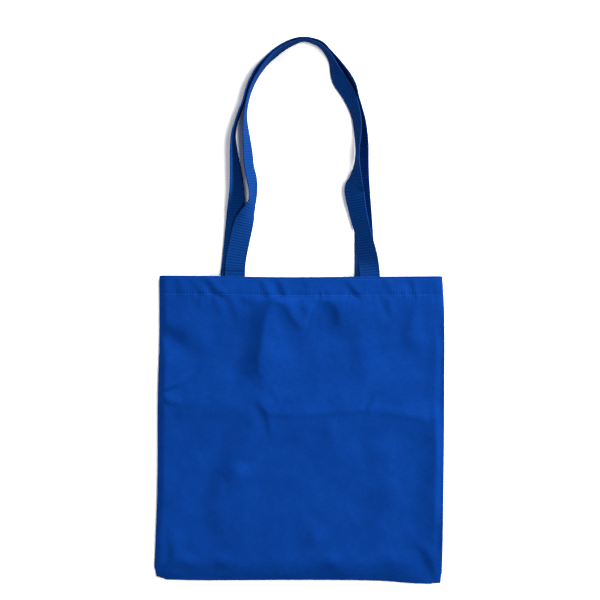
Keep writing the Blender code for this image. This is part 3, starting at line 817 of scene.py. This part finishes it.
class Maths:
    # A socket that takes arithmetic, so shader maths reads as plain expressions
    def __init__(self, finish, socket):
        self.finish = finish
        self.socket = socket

    def combine(self, operation, first, second):
        return self.finish.node("ShaderNodeMath", {"operation": operation}, {0: first, 1: second})

    def __add__(self, other):
        return self.combine("ADD", self, other)

    __radd__ = __add__

    def __sub__(self, other):
        return self.combine("SUBTRACT", self, other)

    def __rsub__(self, other):
        return self.combine("SUBTRACT", other, self)

    def __mul__(self, other):
        return self.combine("MULTIPLY", self, other)

    __rmul__ = __mul__


class Finish:
    # One material, and one call that adds any node to it
    def __init__(self, name):
        self.material = bpy.data.materials.new(name)
        self.material.use_nodes = True
        self.tree = self.material.node_tree
        self.shader = self.tree.nodes["Principled BSDF"]

    def node(self, kind, settings, sockets, output=0):
        made = self.tree.nodes.new(kind)
        for key, value in settings.items():
            setattr(made, key, value)
        self.fill(made, sockets)
        return Maths(self, made.outputs[output])

    def fill(self, node, sockets):
        for key, value in sockets.items():
            if isinstance(value, Maths):
                self.tree.links.new(value.socket, node.inputs[key])
            else:
                node.inputs[key].default_value = value

    def noise(self, place, scale, stretch, detail):
        # Soft noise on flat coordinates, stretched along one of them
        spread = (scale / stretch[0], scale / stretch[1], 1.0)
        vector = self.node("ShaderNodeVectorMath", {"operation": "MULTIPLY"}, {0: place, 1: spread})
        return self.node("ShaderNodeTexNoise", {"noise_dimensions": "2D"},
                         {"Vector": vector, "Scale": 1.0, "Detail": detail, "Roughness": 0.55})

    def wave(self, position, pitch):
        # 0.5 + 0.5 sin(2 pi x / pitch)
        angle = position * (2 * pi / pitch)
        return self.node("ShaderNodeMath", {"operation": "SINE"}, {0: angle}) * 0.5 + 0.5

    def tones(self, share, low, high, dark, pale):
        # Dark colour where share is low, pale colour where it is high
        spread = self.node("ShaderNodeMapRange", {}, {0: share, 1: low, 2: high, 3: 0.0, 4: 1.0})
        return self.node("ShaderNodeMix", {"data_type": "RGBA"}, {0: spread, 6: dark, 7: pale}, 2)

    def flatPlace(self):
        flat = self.node("ShaderNodeUVMap", {"uv_map": "flatCloth"}, {})
        split = self.tree.nodes.new("ShaderNodeSeparateXYZ")
        self.fill(split, {0: flat})
        return flat, Maths(self, split.outputs[0]), Maths(self, split.outputs[1])

    def hump(self, position, centre, reach):
        # 1 at the centre and 0 beyond its reach: 1 - |x - centre| / reach
        away = self.node("ShaderNodeMath", {"operation": "ABSOLUTE"}, {0: position - centre}) * (1 / reach)
        return self.node("ShaderNodeMath", {"operation": "SUBTRACT", "use_clamp": True}, {0: 1.0, 1: away})

    def bump(self, height, distance, strength):
        return self.node("ShaderNodeBump", {}, {"Strength": strength, "Distance": distance, "Height": height})

    def dress(self, facts, share, height):
        # Colour from the share, and the fine height as a bump
        self.fill(self.shader, {
            "Base Color": self.tones(share, *facts["spread"], facts["dark"], facts["pale"]),
            "Roughness": facts["roughness"],
            "Specular IOR Level": facts["specular"],
            "Normal": self.bump(height, facts["depth"], facts["bump"]),
        })
        return self.material


clothFinish = {
    "dark": (0.0010, 0.0390, 0.2620, 1.0),
    "pale": (0.0036, 0.0690, 0.4150, 1.0),
    "spread": (0.20, 0.65),
    # The bars tint is painted shade of the hem's puckers
    "tint": {"grain": 0.25, "weft": 0.15, "warp": 0.10, "patches": 0.30, "weave": 0.10, "bars": 0.10},
    "relief": {"weave": 0.5, "grain": 0.25, "weft": 0.25, "warp": 0.15, "hemBars": 3.4, "edgeBars": 2.4},
    "yarnPitch": 0.00110,
    "grainScale": 420.0,
    "slubScale": 700.0,
    "weftStretch": (7.0, 1.0),
    "warpStretch": (1.0, 6.0),
    "patchScale": 30.0,
    "unevenScale": 150.0,
    "hemBars": (-0.0195, 0.0045),
    "edgeBarReach": 0.0016,
    "depth": 0.00012,
    "bump": 0.6,
    "roughness": 0.90,
    "specular": 0.04,
}
webbingFinish = {
    # The bend line is painted shade where the strap bends just outside the mouth
    "bend": 0.0308,
    "bendReach": 0.0018,
    "dark": (0.0007, 0.0295, 0.1620, 1.0),
    "pale": (0.0040, 0.0630, 0.3050, 1.0),
    "spread": (0.18, 0.75),
    # The furrow and bend tints are painted shade
    "tint": {"furrowShade": 0.34, "grain": 0.48, "yarn": 0.15, "bend": 0.70},
    "relief": {"yarn": 0.7, "grain": 0.4},
    "yarnPitch": 0.00110,
    "grainScale": 520.0,
    "ribShift": 0.25,
    "depth": 0.00014,
    "bump": 0.6,
    "roughness": 0.88,
    "specular": 0.06,
}
threadFinish = {
    "dark": (0.0040, 0.0850, 0.4400, 1.0),
    "pale": (0.0150, 0.1400, 0.6000, 1.0),
    "spread": (0.0, 1.0),
    "twistPitch": 0.0007,
    "depth": 0.00005,
    "bump": 0.5,
    "roughness": 0.80,
    "specular": 0.08,
}


def clothMaterial():
    # Plain weave: crossing yarns as a product of two waves, slubs along both yarn directions in colour and
    # height, wide soft patches where the dye took unevenly, and the small puckers that each stitch draws in
    # the hem, raised in height and darkened in colour as painted shade
    finish = Finish("blueCottonCloth")
    flat, u, v = finish.flatPlace()
    pitch = clothFinish["yarnPitch"]
    weave = finish.wave(u + 0.5 * v, pitch) * finish.wave(v, pitch)
    grain = finish.noise(flat, clothFinish["grainScale"], (1.0, 1.0), 2.0)
    weftSlubs = finish.noise(flat, clothFinish["slubScale"], clothFinish["weftStretch"], 1.0)
    warpSlubs = finish.noise(flat, clothFinish["slubScale"], clothFinish["warpStretch"], 1.0)
    patches = finish.noise(flat, clothFinish["patchScale"], (1.0, 1.0), 2.0)
    uneven = finish.noise(flat, clothFinish["unevenScale"], (1.0, 1.0), 1.0)
    bars = finish.wave(u, stitching["pitch"]) * uneven
    hemBars = bars * finish.hump(v, *clothFinish["hemBars"])
    edgeBars = bars * finish.hump(v, -bagBody["edgeRow"], clothFinish["edgeBarReach"])
    tint = clothFinish["tint"]
    share = grain * tint["grain"] + weftSlubs * tint["weft"] + warpSlubs * tint["warp"]
    # The pucker bars taken off the colour here are painted shade of the hem's puckers
    share = share + patches * tint["patches"] + weave * tint["weave"] - (hemBars + edgeBars) * tint["bars"]
    relief = clothFinish["relief"]
    height = weave * relief["weave"] + grain * relief["grain"] + weftSlubs * relief["weft"]
    height = height + warpSlubs * relief["warp"] + hemBars * relief["hemBars"] + edgeBars * relief["edgeBars"]
    return finish.dress(clothFinish, share, height)


def webbingMaterial():
    # Ribs across the strap with painted shade in their furrows, the fine yarn that wraps each rib,
    # and a line of painted shade where the strap bends just outside the mouth
    finish = Finish("blueCottonWebbing")
    flat, u, v = finish.flatPlace()
    pitch = webbingFinish["yarnPitch"]
    yarn = finish.wave(u, pitch) * finish.wave(v, pitch)
    ribs = finish.wave(v + webbing["ribPitch"] * webbingFinish["ribShift"], webbing["ribPitch"])
    grain = finish.noise(flat, webbingFinish["grainScale"], (1.0, 1.0), 2.0)
    bend = finish.hump(v, webbingFinish["bend"], webbingFinish["bendReach"])
    tint = webbingFinish["tint"]
    # The furrow tint and the bend line are painted shade taken off the colour
    share = (1.0 - ribs) * tint["furrowShade"] + grain * tint["grain"] + yarn * tint["yarn"] - bend * tint["bend"]
    relief = webbingFinish["relief"]
    return finish.dress(webbingFinish, share, yarn * relief["yarn"] + grain * relief["grain"])


def threadMaterial():
    # Two strands twisted together: a slanting wave in colour and height
    finish = Finish("blueSewingThread")
    u, v = finish.flatPlace()[1:]
    twist = finish.wave(u + v, threadFinish["twistPitch"])
    return finish.dress(threadFinish, twist, twist)


cloth = clothMaterial()
strapFinish = webbingMaterial()
thread = threadMaterial()

dressing = (
    (frontPanel, "front_panel", "cloth", cloth),
    (backPanel, "back_panel", "cloth", cloth),
    (frontHandle, "front_handle", "webbing", strapFinish),
    (backHandle, "back_handle", "webbing", strapFinish),
    (frontHemStitches, "front_hem_thread", "thread", thread),
    (frontEdgeStitches, "front_edge_thread", "thread", thread),
    (backHemStitches, "back_hem_thread", "thread", thread),
    (backEdgeStitches, "back_edge_thread", "thread", thread),
)
for piece, node, slot, material in dressing:
    piece.data.materials.append(material)
    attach(piece, "root")
    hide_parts(node)
print("pieces dressed and placed on the frame")


# Floor, lights and camera

studio = {
    "viewCentre": (-0.0015, 0.1606),
    "viewHeight": 1.9,
    "viewWidth": 0.7524,
    "floorSeen": (2.0, 2.0, 1.98, 1.0),
    "floorBounce": (0.75, 0.75, 0.75, 1.0),
    "floorHalf": 4.0,
    "lightsAimAt": (0.0, 0.08, 0.0),
    "worldLevel": 0.12,
}
keyLight = {
    "towards": (0.27, 0.18, 1.0), "distance": 1.8, "size": (0.42, 0.42), "power": 12.2, "shape": "DISK",
}
lowLight = {
    "towards": lowLightTowards, "distance": 2.2, "size": (1.1, 0.5), "power": 68.7, "shape": "RECTANGLE",
}
fillLight = {
    "towards": (-0.735, -0.215, 0.643), "distance": 2.2, "size": (1.2, 0.8), "power": 9.8,
    "shape": "RECTANGLE",
}


def makeFloor():
    # Seen white and overexposed by the camera, but a plain pale surface to the light that bounces
    mesh = bpy.data.meshes.new("studioFloor")
    half = studio["floorHalf"]
    corners = [(-half, -half, 0), (half, -half, 0), (half, half, 0), (-half, half, 0)]
    mesh.from_pydata(corners, [], [(0, 1, 2, 3)])
    floor = bpy.data.objects.new("studioFloor", mesh)
    bpy.context.scene.collection.objects.link(floor)
    finish = Finish("whiteFloor")
    seen = finish.tree.nodes.new("ShaderNodeLightPath")
    direct = Maths(finish, seen.outputs["Is Camera Ray"]) + Maths(finish, seen.outputs["Is Glossy Ray"])
    colour = finish.node("ShaderNodeMix", {"data_type": "RGBA", "clamp_result": False},
                         {0: direct, 6: studio["floorBounce"], 7: studio["floorSeen"]}, 2)
    surface = finish.node("ShaderNodeBsdfDiffuse", {}, {"Color": colour})
    finish.fill(finish.tree.nodes["Material Output"], {"Surface": surface})
    mesh.materials.append(finish.material)


def makeLight(name, facts):
    lamp = bpy.data.lights.new(name, "AREA")
    lamp.shape = facts["shape"]
    lamp.size = facts["size"][0]
    if facts["shape"] == "RECTANGLE":
        lamp.size_y = facts["size"][1]
    lamp.energy = facts["power"]
    holder = bpy.data.objects.new(name, lamp)
    aim = np.array(facts["towards"]) / np.linalg.norm(facts["towards"])
    holder.location = np.array(studio["lightsAimAt"]) + aim * facts["distance"]
    holder.rotation_mode = "QUATERNION"
    holder.rotation_quaternion = Vector(aim).to_track_quat("Z", "Y")
    bpy.context.scene.collection.objects.link(holder)


def makeCamera():
    lens = bpy.data.cameras.new("overheadCamera")
    lens.sensor_width = 36
    lens.lens = lens.sensor_width * studio["viewHeight"] / studio["viewWidth"]
    lens.clip_start = 0.01
    lens.clip_end = 20
    holder = bpy.data.objects.new("overheadCamera", lens)
    holder.location = (*studio["viewCentre"], studio["viewHeight"])
    bpy.context.scene.collection.objects.link(holder)
    bpy.context.scene.camera = holder


makeFloor()
makeLight("keyLight", keyLight)
makeLight("lowLight", lowLight)
makeLight("fillLight", fillLight)
makeCamera()
world = bpy.data.worlds.new("paleRoom")
world.use_nodes = True
world.node_tree.nodes["Background"].inputs["Color"].default_value = (1.0, 1.0, 1.0, 1.0)
world.node_tree.nodes["Background"].inputs["Strength"].default_value = studio["worldLevel"]
bpy.context.scene.world = world
bpy.context.scene.view_settings.view_transform = "Standard"
